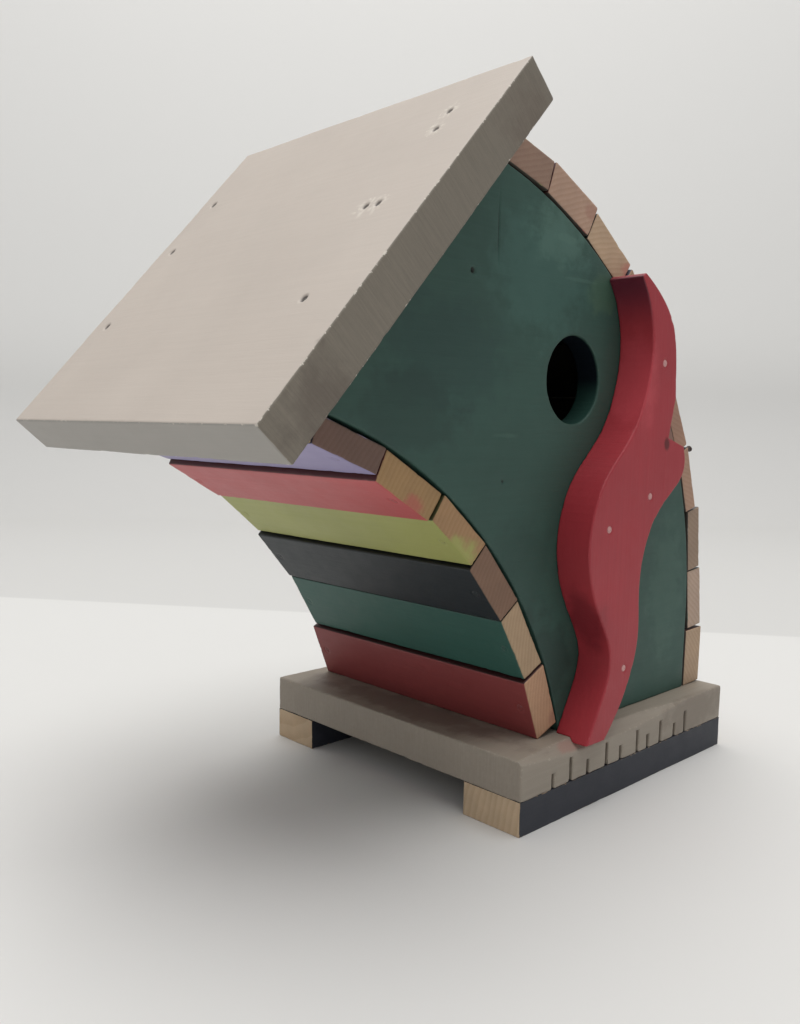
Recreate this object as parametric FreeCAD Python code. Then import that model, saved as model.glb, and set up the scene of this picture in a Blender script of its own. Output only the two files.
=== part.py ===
# A small wooden birdhouse whose body leans to its left and curves over as it rises.
# Frame: +Z up, the front faces -Y, +X is on the right seen from the front.
# The origin is the centre of the base's footprint, on the surface it stands on.
import FreeCAD, Part
import math
import os

# ---- driving dimensions, in millimetres and degrees ------------------------------------

# Board stocks: thick boards for base, roof and trim, thin ones for the body
THICK_STOCK = 19.0
THIN_STOCK = 13.0

# Base slab on two battens
BASE_WIDTH = 184.0
BASE_DEPTH = 181.0
FOOT_HEIGHT = 16.5
FRONT_FOOT_WIDTH = 34.0
REAR_FOOT_WIDTH = 31.0

# Saw kerfs that rise from the lower front arris of the base, set out by eye
KERF_X = (-68.0, -54.0, -40.0, -24.0, -11.5, 4.0, 14.0, 26.5, 41.0, 52.0)
KERF_WIDTH = 2.2
KERF_DEPTH = 5.0
KERF_SHORT = 7.5
KERF_LONG = 12.0

# The worn hollow in the base's upper front arris
WANE_DEPTH = 4.0
WANE_HALF_LENGTH = 78.0
WANE_CENTRE_X = -28.0
WANE_ANGLE = 40.0

# Body: both sides are cut to one radius
FRONT_SETBACK = 14.0
BODY_DEPTH = 158.0
SIDE_RADIUS = 220.0
LEFT_CENTRE = (-258.3, -22.9)
RIGHT_CENTRE = (-147.0, 79.0)
SIDE_GAP = 0.8

# Roof board
ROOF_LENGTH = 190.0
ROOF_DEPTH = 190.0
ROOF_ANGLE = 47.6
ROOF_OVERHANG = 10.0
ROOF_LOW_CORNER = (-226.2, 171.1)

# Slats from the base upwards: (width, thickness, lift off the wall edge, lean in degrees).
# Widths and seams are measured along the wall's edge. The slats are mitred, and each cut is
# turned a little off the mitre, so that the seams open outwards
LEFT_START = 5.6
LEFT_SEAM = 0.6
LEFT_OPENING = 0.4
RIGHT_SEAM = 0.4
RIGHT_OPENING = 1.6
LEFT_SLATS = (
    (33.6, 15.8, 0.0, 0.0),
    (37.8, 14.0, 0.0, 0.3),
    (36.0, 14.6, 0.0, 0.0),
    (34.8, 12.6, 0.0, -0.3),
    (36.8, 13.6, 0.0, 0.0),
    (35.8, 11.4, 0.0, 0.2),
    (25.4, 11.4, 0.0, 0.0),
)
RIGHT_SLATS = (
    (32.6, 17.4, 0.6, 0.0),
    (34.0, 14.5, 1.9, 5.0),
    (34.2, 12.6, 1.5, -4.6),
    (34.4, 10.4, 0.2, -0.6),
    (34.0, 11.2, 0.2, 0.5),
    (34.2, 12.4, 0.4, 0.0),
    (34.0, 13.7, 0.3, -0.4),
    (34.2, 14.9, 0.3, 0.4),
    (34.0, 15.3, 0.7, 1.2),
    (46.0, 13.7, 0.3, 0.0),
)
SLAT_END_STEP = 0.45

# Entrance hole in the front wall
HOLE_RADIUS = 20.4
HOLE_CENTRE = (-44.4, 205.5)

# Clean-out hole in the back wall and the board that swings over it
CLEANOUT_RADIUS = 25.5
CLEANOUT_CENTRE = (4.0, 88.0)
COVER_WIDTH = 72.0
COVER_HEIGHT = 88.0
COVER_THICKNESS = 9.0
COVER_CORNER = 7.0
COVER_GAP = 0.6
PIVOT_ABOVE_HOLE = 38.0
PIVOT_BELOW_TOP = 12.0
SCREW_RADIUS = 2.1
SCREW_CLEARANCE = 0.3
SCREW_HEAD_RADIUS = 4.4
SCREW_HEAD_HEIGHT = 2.8
SCREW_BITE = 11.0
SLOT_WIDTH = 1.0
SLOT_DEPTH = 1.2
WASHER_RADIUS = 6.0
WASHER_THICKNESS = 1.0
WASHER_PLAY = 0.2

# Wavy trim board: its outline seen from the front, (x, z) from the top down
TRIM_LEFT = (
    (-19.8, 253.5),
    (-13.0, 243.5),
    (-9.0, 232.5),
    (-7.8, 219.0),
    (-10.2, 205.0),
    (-20.5, 182.5),
    (-43.5, 158.5),
    (-53.5, 129.0),
    (-45.0, 99.0),
    (-32.5, 73.0),
    (-40.0, 51.0),
    (-51.0, 30.0),
)
TRIM_RIGHT_UPPER = (
    (-17.0, 255.5),
    (-1.0, 245.5),
    (10.0, 233.0),
    (14.0, 218.0),
    (15.5, 199.0),
)
TRIM_NOTCH = (10.5, 179.0)
TRIM_RIGHT_LOWER = (
    (25.5, 174.5),
    (26.0, 161.0),
    (10.5, 147.5),
    (-5.5, 127.0),
    (-9.8, 104.0),
    (-9.0, 81.0),
    (-16.0, 59.0),
    (-38.5, 30.0),
)
TRIM_LAP = 2.0
TRIM_NAILS = ((3.5, 215.0), (-4.0, 150.5), (-38.0, 136.5), (-20.5, 67.0))

# Nails
NAIL_RADIUS = 0.9
NAIL_HEAD_RADIUS = 2.0
NAIL_HEAD_HEIGHT = 0.9
SLAT_NAIL_LENGTH = 30.0
SHORT_NAIL_LENGTH = 20.0
ROOF_NAIL_LENGTH = 42.0
TRIM_NAIL_LENGTH = 30.0
FOOT_NAIL_LENGTH = 30.0
FOOT_NAIL_RECESS = 1.0
FOOT_NAIL_X = (-72.0, 0.0, 72.0)
HEAD_STANDS_OUT = 0.25
# Roof nails: (distance up the slope, distance behind their row)
FRONT_ROOF_NAILS = ((59.5, 0.0), (110.8, 0.0), (110.8, 7.0), (154.9, 0.0), (166.2, 0.0))
REAR_ROOF_NAILS = ((59.5, 0.0), (111.5, 0.0), (147.0, 0.0))
ROOF_NAIL_OFF_MIDDLE = 2.5
PROUD_NAIL_SLAT = 3
PROUD_NAIL_OUT = 3.8
PROUD_NAIL_FROM_TOP = 1.8
PROUD_NAIL_FROM_FRONT = 1.6

# Screws up through the base into the lower ends of the walls
BASE_SCREW_RADIUS = 2.2
BASE_SCREW_LENGTH = 45.0
BASE_SCREW_X = (-20.0, 45.0)

# ---- places worked out from them -------------------------------------------------------

BASE_TOP = FOOT_HEIGHT + THICK_STOCK
BASE_FRONT = -BASE_DEPTH / 2
BODY_FRONT = BASE_FRONT + FRONT_SETBACK
BODY_BACK = BODY_FRONT + BODY_DEPTH
ROOF_FRONT = BASE_FRONT - ROOF_OVERHANG
WALL_MIDDLES = (BODY_FRONT + THIN_STOCK / 2, BODY_BACK - THIN_STOCK / 2)
ROOF_SLOPE = (math.cos(math.radians(ROOF_ANGLE)), math.sin(math.radians(ROOF_ANGLE)))
ROOF_NORMAL = (-ROOF_SLOPE[1], ROOF_SLOPE[0])
PIVOT = (CLEANOUT_CENTRE[0], CLEANOUT_CENTRE[1] + PIVOT_ABOVE_HOLE)
COVER_FRONT = BODY_BACK + COVER_GAP
COVER_BACK = COVER_FRONT + COVER_THICKNESS
Y_AXIS = FreeCAD.Vector(0, 1, 0)
Z_AXIS = FreeCAD.Vector(0, 0, 1)


def xz(point, y=0.0):
    """A point (x, z) of the front view, at depth y."""
    return FreeCAD.Vector(point[0], y, point[1])


def offset(point, direction, distance):
    """The point (x, z) moved along a direction (x, z)."""
    return (point[0] + direction[0] * distance, point[1] + direction[1] * distance)


def box(low, high):
    """A box between two corners."""
    size = [b - a for a, b in zip(low, high)]
    return Part.makeBox(*size, FreeCAD.Vector(*low))


def extruded(edges, y_from, y_to):
    """The closed outline of edges in the front view, as a board from y_from to y_to."""
    face = Part.Face(Part.Wire(edges))
    face.translate(FreeCAD.Vector(0, y_from, 0))
    return face.extrude(FreeCAD.Vector(0, y_to - y_from, 0))


def polygon_board(points, y_from, y_to):
    """A board with a straight-sided outline."""
    corners = [xz(p) for p in points]
    edges = [Part.makeLine(a, b) for a, b in zip(corners, corners[1:] + corners[:1])]
    return extruded(edges, y_from, y_to)


def curve_through(points):
    """A smooth edge through points (x, z) of the front view."""
    spline = Part.BSplineCurve()
    spline.interpolate([xz(p) for p in points])
    return spline.toShape()


def on_circle(centre, radius, angle):
    """A point (x, z) on a circle, at an angle in radians from +X."""
    return (centre[0] + radius * math.cos(angle), centre[1] + radius * math.sin(angle))


def roof_meets_circle(centre, radius):
    """The angle, in radians, at which the roof's underside cuts the upper right of a circle."""
    to_plane = [ROOF_LOW_CORNER[0] - centre[0], ROOF_LOW_CORNER[1] - centre[1]]
    height = to_plane[0] * ROOF_NORMAL[0] + to_plane[1] * ROOF_NORMAL[1]
    return math.atan2(ROOF_NORMAL[1], ROOF_NORMAL[0]) - math.acos(height / radius)


def above_roof():
    """Everything above the roof's underside, to cut the body's tops with."""
    reach = 2 * ROOF_LENGTH
    low = offset(ROOF_LOW_CORNER, ROOF_SLOPE, -reach)
    high = offset(ROOF_LOW_CORNER, ROOF_SLOPE, reach)
    corners = (low, high, offset(high, ROOF_NORMAL, reach), offset(low, ROOF_NORMAL, reach))
    return polygon_board(corners, 2 * BODY_FRONT, 2 * BODY_BACK)


# ---- base and feet ---------------------------------------------------------------------

def make_wane():
    """The long shallow hollow worn into the base's upper front arris."""
    radius = WANE_HALF_LENGTH ** 2 / (2 * WANE_DEPTH)
    slope = math.radians(WANE_ANGLE)
    outwards = FreeCAD.Vector(0, -math.sin(slope), math.cos(slope))
    along = FreeCAD.Vector(0, -math.cos(slope), -math.sin(slope))
    arris = FreeCAD.Vector(WANE_CENTRE_X, BASE_FRONT, BASE_TOP)
    start = arris + outwards * (radius - WANE_DEPTH) - along * THICK_STOCK
    return Part.makeCylinder(radius, 3 * THICK_STOCK, start, along)


def make_base():
    half = BASE_WIDTH / 2
    slab = box((-half, BASE_FRONT, FOOT_HEIGHT), (half, -BASE_FRONT, BASE_TOP))
    slab = slab.cut(make_wane())
    for index, x in enumerate(KERF_X):
        height = KERF_LONG if index % 2 else KERF_SHORT
        low = (x - KERF_WIDTH / 2, BASE_FRONT - 1.0, FOOT_HEIGHT - 1.0)
        high = (x + KERF_WIDTH / 2, BASE_FRONT + KERF_DEPTH, FOOT_HEIGHT + height)
        slab = slab.cut(box(low, high))
    return slab


def foot_nail_rows():
    """Three places along the middle of each foot, for the front foot and the rear one."""
    rows = (BASE_FRONT + FRONT_FOOT_WIDTH / 2, -BASE_FRONT - REAR_FOOT_WIDTH / 2)
    return [[FreeCAD.Vector(x, y, 0) for x in FOOT_NAIL_X] for y in rows]


def make_feet():
    """The two battens, with a shallow pocket around each nail's head."""
    half = BASE_WIDTH / 2
    front = box((-half, BASE_FRONT, 0), (half, BASE_FRONT + FRONT_FOOT_WIDTH, FOOT_HEIGHT))
    rear = box((-half, -BASE_FRONT - REAR_FOOT_WIDTH, 0), (half, -BASE_FRONT, FOOT_HEIGHT))
    feet = []
    for foot, places in zip((front, rear), foot_nail_rows()):
        for place in places:
            foot = foot.cut(Part.makeCylinder(NAIL_HEAD_RADIUS, FOOT_NAIL_RECESS, place))
        feet.append(foot)
    return feet


# ---- body ------------------------------------------------------------------------------

def make_wall(y_from, y_to):
    """One end wall: curved sides, a flat foot on the base and a top cut to the roof."""
    left_radius = SIDE_RADIUS + SIDE_GAP
    right_radius = SIDE_RADIUS - SIDE_GAP
    left_low = math.asin((BASE_TOP - LEFT_CENTRE[1]) / left_radius)
    left_high = roof_meets_circle(LEFT_CENTRE, left_radius)
    right_high = roof_meets_circle(RIGHT_CENTRE, right_radius)

    def arc(centre, radius, start, end):
        middle = on_circle(centre, radius, (start + end) / 2)
        ends = [on_circle(centre, radius, angle) for angle in (start, end)]
        return Part.Arc(xz(ends[0]), xz(middle), xz(ends[1])).toShape(), ends

    left_side, (left_foot, left_top) = arc(LEFT_CENTRE, left_radius, left_low, left_high)
    right_side, (right_top, right_knee) = arc(RIGHT_CENTRE, right_radius, right_high, 0.0)
    right_foot = (right_knee[0], BASE_TOP)
    edges = [
        left_side,
        Part.makeLine(xz(left_top), xz(right_top)),
        right_side,
        Part.makeLine(xz(right_knee), xz(right_foot)),
        Part.makeLine(xz(right_foot), xz(left_foot)),
    ]
    return extruded(edges, y_from, y_to)


def round_hole(centre, radius, y_from, y_to):
    return Part.makeCylinder(radius, y_to - y_from, xz(centre, y_from), Y_AXIS)


def make_front_wall():
    wall = make_wall(BODY_FRONT, BODY_FRONT + THIN_STOCK)
    return wall.cut(round_hole(HOLE_CENTRE, HOLE_RADIUS, BODY_FRONT - 1, BODY_FRONT + 2 * THIN_STOCK))


def make_back_wall():
    wall = make_wall(BODY_BACK - THIN_STOCK, BODY_BACK)
    for centre, radius in ((CLEANOUT_CENTRE, CLEANOUT_RADIUS), (PIVOT, SCREW_RADIUS)):
        wall = wall.cut(round_hole(centre, radius, BODY_BACK - 2 * THIN_STOCK, BODY_BACK + 1))
    return wall


def left_seat(along):
    """The left side's edge, a distance up it: the point, the way up and the way out."""
    angle = math.asin((BASE_TOP - LEFT_CENTRE[1]) / SIDE_RADIUS) + along / SIDE_RADIUS
    point = on_circle(LEFT_CENTRE, SIDE_RADIUS, angle)
    return point, (-math.sin(angle), math.cos(angle)), (-math.cos(angle), -math.sin(angle))


def right_seat(along):
    """The right side's edge, a distance up it: straight at first, then on the arc."""
    straight = RIGHT_CENTRE[1] - BASE_TOP
    if along < straight:
        return (RIGHT_CENTRE[0] + SIDE_RADIUS, BASE_TOP + along), (0.0, 1.0), (1.0, 0.0)
    angle = (along - straight) / SIDE_RADIUS
    point = on_circle(RIGHT_CENTRE, SIDE_RADIUS, angle)
    return point, (-math.sin(angle), math.cos(angle)), (math.cos(angle), math.sin(angle))


def turned(direction, degrees):
    """A direction (x, z) turned anticlockwise in the front view."""
    angle = math.radians(degrees)
    x, z = direction
    return (
        x * math.cos(angle) - z * math.sin(angle),
        x * math.sin(angle) + z * math.cos(angle),
    )


def meet(point, direction, other_point, other_direction):
    """Where two lines of the front view cross."""
    dx = other_point[0] - point[0]
    dz = other_point[1] - point[1]
    cross = direction[0] * other_direction[1] - direction[1] * other_direction[0]
    return offset(point, direction, (dx * other_direction[1] - dz * other_direction[0]) / cross)


def lay_out(slats, seat, start, seam):
    """Each slat's frame: the middle of its inner face, the way up, the way out and its size.

    The middle of the face sits on the chord between the two points of the edge that it spans,
    or on the edge itself where that bulges out past the chord.
    """
    frames = []
    along = start
    for width, thickness, lift, lean in slats:
        point, up, out = seat(along + width / 2)
        chord_middle = [(a + b) / 2 for a, b in zip(seat(along)[0], seat(along + width)[0])]
        sag = (chord_middle[0] - point[0]) * out[0] + (chord_middle[1] - point[1]) * out[1]
        up, out = turned(up, lean), turned(out, lean)
        frames.append((offset(point, out, lift + max(sag, 0.0)), up, out, width, thickness))
        along += width + seam
    return frames


def mitred_ends(frames, seat, start, seam, opening):
    """The two lines along which each slat is cut: a point on each line and its direction."""
    ends = []
    along = start
    for index, (middle, up, out, width, thickness) in enumerate(frames):
        below = frames[max(index - 1, 0)][2]
        above = frames[min(index + 1, len(frames) - 1)][2]
        lines = []
        for place, other, side in ((along, below, 1), (along + width, above, -1)):
            between = (out[0] + other[0], out[1] + other[1])
            lines.append((seat(place)[0], turned(between, side * opening)))
        ends.append(lines)
        along += width + seam
    return ends


def make_slat(frame, ends, index, base_side, roof_side):
    """A slat with its ends a little uneven, cut off at the base and at the roof."""
    middle, up, out, width, thickness = frame
    outer = offset(middle, out, thickness)
    inner_corners = [meet(*line, middle, up) for line in ends]
    outer_corners = [meet(*line, outer, up) for line in reversed(ends)]
    step = SLAT_END_STEP * (index * 2 % 3)
    slat = polygon_board(inner_corners + outer_corners, BODY_FRONT + step, BODY_BACK - step)
    return slat.cut(base_side).cut(roof_side)


# ---- roof and trim ---------------------------------------------------------------------

def make_roof():
    low = ROOF_LOW_CORNER
    high = offset(low, ROOF_SLOPE, ROOF_LENGTH)
    corners = (
        low,
        high,
        offset(high, ROOF_NORMAL, THICK_STOCK),
        offset(low, ROOF_NORMAL, THICK_STOCK),
    )
    return polygon_board(corners, ROOF_FRONT, ROOF_FRONT + ROOF_DEPTH)


def make_trim(base):
    """The wavy board: its foot stands on the base and laps a little over the worn arris."""
    left = curve_through(TRIM_LEFT)
    upper = curve_through(TRIM_RIGHT_UPPER)
    lower = curve_through(TRIM_RIGHT_LOWER)
    notch = [xz(p) for p in (TRIM_RIGHT_UPPER[-1], TRIM_NOTCH, TRIM_RIGHT_LOWER[0])]
    edges = [Part.makeLine(xz(TRIM_LEFT[0]), xz(TRIM_RIGHT_UPPER[0])), upper]
    edges += [Part.makeLine(a, b) for a, b in zip(notch, notch[1:])]
    edges += [lower, Part.makeLine(xz(TRIM_RIGHT_LOWER[-1]), xz(TRIM_LEFT[-1])), left]
    board = extruded(edges, BODY_FRONT - THICK_STOCK, BODY_FRONT)
    below = box((-BASE_WIDTH, ROOF_FRONT, 0), (BASE_WIDTH, BODY_FRONT, BASE_TOP - TRIM_LAP))
    return board.cut(base).cut(below)


# ---- clean-out cover -------------------------------------------------------------------

def make_cover():
    x = PIVOT[0]
    top = PIVOT[1] + PIVOT_BELOW_TOP
    half = COVER_WIDTH / 2
    low = (x - half, COVER_FRONT, top - COVER_HEIGHT)
    board = box(low, (x + half, COVER_BACK, top))
    upright = [e for e in board.Edges if abs(e.tangentAt(e.FirstParameter).y) > 0.9]
    board = board.makeFillet(COVER_CORNER, upright)
    bore = SCREW_RADIUS + SCREW_CLEARANCE
    return board.cut(round_hole(PIVOT, bore, COVER_FRONT - 1, COVER_BACK + 1))


def make_cover_screw():
    """A round-head screw: its shank ends in the wall, its slot is across the head."""
    washer_back = COVER_BACK + WASHER_THICKNESS + 2 * WASHER_PLAY
    head_back = washer_back + SCREW_HEAD_HEIGHT
    shank = round_hole(PIVOT, SCREW_RADIUS, BODY_BACK - SCREW_BITE, washer_back)
    ball_radius = (SCREW_HEAD_RADIUS ** 2 + SCREW_HEAD_HEIGHT ** 2) / (2 * SCREW_HEAD_HEIGHT)
    ball = Part.makeSphere(ball_radius, xz(PIVOT, head_back - ball_radius))
    head = ball.common(round_hole(PIVOT, SCREW_HEAD_RADIUS, washer_back, head_back + 1))
    slot_low = (PIVOT[0] - SCREW_HEAD_RADIUS - 1, head_back - SLOT_DEPTH, PIVOT[1] - SLOT_WIDTH / 2)
    slot_high = (PIVOT[0] + SCREW_HEAD_RADIUS + 1, head_back + 1, PIVOT[1] + SLOT_WIDTH / 2)
    return shank.fuse(head.cut(box(slot_low, slot_high))).removeSplitter()


def make_washer():
    front = COVER_BACK + WASHER_PLAY
    disc = round_hole(PIVOT, WASHER_RADIUS, front, front + WASHER_THICKNESS)
    return disc.cut(round_hole(PIVOT, SCREW_RADIUS + SCREW_CLEARANCE, front - 1, front + 2))


# ---- nails and screws ------------------------------------------------------------------

def nail(head_top, into, length, radius=NAIL_RADIUS, head_radius=NAIL_HEAD_RADIUS):
    """A flat-headed nail: the centre of its head's top, the way it is driven, its length."""
    shank = Part.makeCylinder(radius, length, head_top, into)
    head = Part.makeCylinder(head_radius, NAIL_HEAD_HEIGHT, head_top, into)
    return shank.fuse(head).removeSplitter()


def slat_nails(frames):
    """Two nails through every slat, one into each end wall; those under the roof are short."""
    nails = []
    top = len(frames) - 1
    for index, (middle, up, out, width, thickness) in enumerate(frames):
        place = offset(middle, up, -width / 3) if index == top else middle
        length = SHORT_NAIL_LENGTH if index == top else SLAT_NAIL_LENGTH
        surface = offset(place, out, thickness + HEAD_STANDS_OUT)
        nails += [nail(xz(surface, y), xz((-out[0], -out[1])), length) for y in WALL_MIDDLES]
    return Part.makeCompound(nails)


def make_proud_nail(frame):
    """The one slat nail that was never driven home."""
    middle, up, out, width, thickness = frame
    near_top = offset(middle, up, width / 2 - PROUD_NAIL_FROM_TOP)
    surface = offset(near_top, out, thickness + PROUD_NAIL_OUT)
    y = BODY_FRONT + PROUD_NAIL_FROM_FRONT
    return nail(xz(surface, y), xz((-out[0], -out[1])), SLAT_NAIL_LENGTH)


def make_roof_nails():
    """Nails through the roof into the two end walls, in rows clear of the slats' nails."""
    nails = []
    down = xz((-ROOF_NORMAL[0], -ROOF_NORMAL[1]))
    on_top = offset(ROOF_LOW_CORNER, ROOF_NORMAL, THICK_STOCK + HEAD_STANDS_OUT)
    front_row = WALL_MIDDLES[0] - ROOF_NAIL_OFF_MIDDLE
    rear_row = WALL_MIDDLES[1] + ROOF_NAIL_OFF_MIDDLE
    for y, row in ((front_row, FRONT_ROOF_NAILS), (rear_row, REAR_ROOF_NAILS)):
        heads = [xz(offset(on_top, ROOF_SLOPE, along), y + behind) for along, behind in row]
        nails += [nail(head, down, ROOF_NAIL_LENGTH) for head in heads]
    return Part.makeCompound(nails)


def make_trim_nails():
    front = BODY_FRONT - THICK_STOCK - HEAD_STANDS_OUT
    return Part.makeCompound([nail(xz(p, front), Y_AXIS, TRIM_NAIL_LENGTH) for p in TRIM_NAILS])


def make_foot_nails():
    """The nails up through the feet into the base, their heads at the bottom of their pockets."""
    recess = FreeCAD.Vector(0, 0, FOOT_NAIL_RECESS)
    heads = [place + recess for places in foot_nail_rows() for place in places]
    return Part.makeCompound([nail(head, Z_AXIS, FOOT_NAIL_LENGTH) for head in heads])


def make_base_screws():
    """Screws up through the base into the end grain of the two walls."""
    screws = []
    for y in WALL_MIDDLES:
        for x in BASE_SCREW_X:
            head = FreeCAD.Vector(x, y, FOOT_HEIGHT)
            screws.append(nail(head, Z_AXIS, BASE_SCREW_LENGTH, BASE_SCREW_RADIUS, SCREW_HEAD_RADIUS))
    return Part.makeCompound(screws)


# ---- the whole house -------------------------------------------------------------------

def build():
    base = make_base()
    front_foot, rear_foot = make_feet()
    roof_side = above_roof()
    base_side = box((-BASE_WIDTH, 2 * BASE_FRONT, 0), (BASE_WIDTH, -2 * BASE_FRONT, BASE_TOP))
    left = lay_out(LEFT_SLATS, left_seat, LEFT_START, LEFT_SEAM)
    right = lay_out(RIGHT_SLATS, right_seat, 0.0, RIGHT_SEAM)
    left_ends = mitred_ends(left, left_seat, LEFT_START, LEFT_SEAM, -LEFT_OPENING)
    right_ends = mitred_ends(right, right_seat, 0.0, RIGHT_SEAM, RIGHT_OPENING)
    nodes = {
        "base_board": base,
        "front_foot": front_foot,
        "rear_foot": rear_foot,
        "front_wall": make_front_wall(),
        "back_wall": make_back_wall(),
        "roof_board": make_roof(),
        "serpentine_trim": make_trim(base),
        "cleanout_cover": make_cover(),
        "cover_screw": make_cover_screw(),
        "cover_washer": make_washer(),
        "left_slat_nails": slat_nails(left),
        "right_slat_nails": slat_nails(right),
        "proud_nail": make_proud_nail(right[PROUD_NAIL_SLAT]),
        "roof_nails": make_roof_nails(),
        "trim_nails": make_trim_nails(),
        "foot_nails": make_foot_nails(),
        "base_screws": make_base_screws(),
    }
    for side, frames, ends in (("left", left, left_ends), ("right", right, right_ends)):
        for index, frame in enumerate(frames):
            slat = make_slat(frame, ends[index], index, base_side, roof_side)
            nodes[f"{side}_slat_{index + 1}"] = slat
    return nodes


os.makedirs("parts", exist_ok=True)
for name, shape in build().items():
    shape.exportStep(f"parts/{name}.step")
    print(f"{name}: {len(shape.Solids)} solids, valid {shape.isValid()}, {shape.Volume / 1000:.1f} cm3")
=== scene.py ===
"""A small wooden birdhouse that leans to its left: painted boards, bare ends, nails and wear.

Every board is rebuilt from its CAD solid: its arrises are eased, it is sliced into small faces,
and those are moved to make the warp, chips, dents and holes of hand-cut timber.
"""

import math

import bmesh
import bpy
import numpy as np
from mathutils import Matrix, Vector, noise


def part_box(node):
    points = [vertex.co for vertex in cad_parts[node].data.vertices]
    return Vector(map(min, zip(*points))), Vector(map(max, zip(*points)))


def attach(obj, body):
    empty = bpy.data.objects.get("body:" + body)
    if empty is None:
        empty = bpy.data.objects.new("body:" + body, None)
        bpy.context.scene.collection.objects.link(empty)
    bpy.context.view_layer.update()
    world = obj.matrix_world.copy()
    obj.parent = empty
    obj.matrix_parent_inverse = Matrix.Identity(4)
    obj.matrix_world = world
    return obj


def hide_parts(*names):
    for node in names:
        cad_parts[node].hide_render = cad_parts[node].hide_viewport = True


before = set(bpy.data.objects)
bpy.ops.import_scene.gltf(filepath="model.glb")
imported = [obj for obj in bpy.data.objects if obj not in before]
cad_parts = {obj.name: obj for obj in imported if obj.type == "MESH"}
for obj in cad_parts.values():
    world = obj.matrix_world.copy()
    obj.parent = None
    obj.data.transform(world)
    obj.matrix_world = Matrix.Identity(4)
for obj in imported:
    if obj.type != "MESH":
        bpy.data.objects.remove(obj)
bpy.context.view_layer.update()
MM = 0.001

X = Vector((1, 0, 0))
Y = Vector((0, 1, 0))
Z = Vector((0, 0, 1))

# ---- colours, 0 to 255 ------------------------------------------------------------------

ROOF_TAUPE = (192, 181, 171)
ROOF_END = (128, 120, 108)
ROOF_SIDE = (160, 156, 150)
BASE_TAUPE = (153, 143, 130)
PALE_WORN = (214, 206, 195)
BASE_WORN = (168, 157, 143)
NAVY = (42, 45, 55)
GREEN = (48, 80, 71)
SLAT_GREEN = (44, 88, 78)
RED = (164, 46, 56)
WORN_RED = (184, 96, 98)
# painted shade on the wavy trim: its sides near the top, and its notch's inner corner
TRIM_TOP_SHADE = (72, 14, 38)
NOTCH_SHADE_RED = (92, 8, 16)
BRICK = (187, 86, 88)
LOW_BRICK = (136, 58, 58)
LAVENDER = (154, 146, 184)
OLIVE = (164, 167, 98)
CHARCOAL = (21, 31, 37)
FOOT_PINE = (200, 176, 146)
PINE = (176, 146, 118)
GREY_PINE = (70, 64, 58)
PINK_HEAD = (206, 152, 150)
STEEL = (150, 148, 144)
DARK_STEEL = (84, 78, 72)
RUSTED = (66, 48, 44)
RUST = (92, 58, 40)
SHADE = (12, 17, 26)
HOLLOW_SHADE = (34, 30, 28)
SCUFF = (88, 122, 108)
# painted shade for the front wall, low down and under the roof's low end
WALL_SHADE_GREEN = (30, 58, 52)
NEAR_FLOOR = (215, 214, 212)
FAR_FLOOR = (203, 202, 200)
BACKDROP = (230, 229, 227)


def linear(rgb):
    """A colour given as 0 to 255 in sRGB, as linear light with alpha."""
    parts = [v / 255 for v in rgb]
    return tuple(p / 12.92 if p <= 0.04045 else ((p + 0.055) / 1.055) ** 2.4 for p in parts) + (1,)


# ---- materials --------------------------------------------------------------------------

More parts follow.
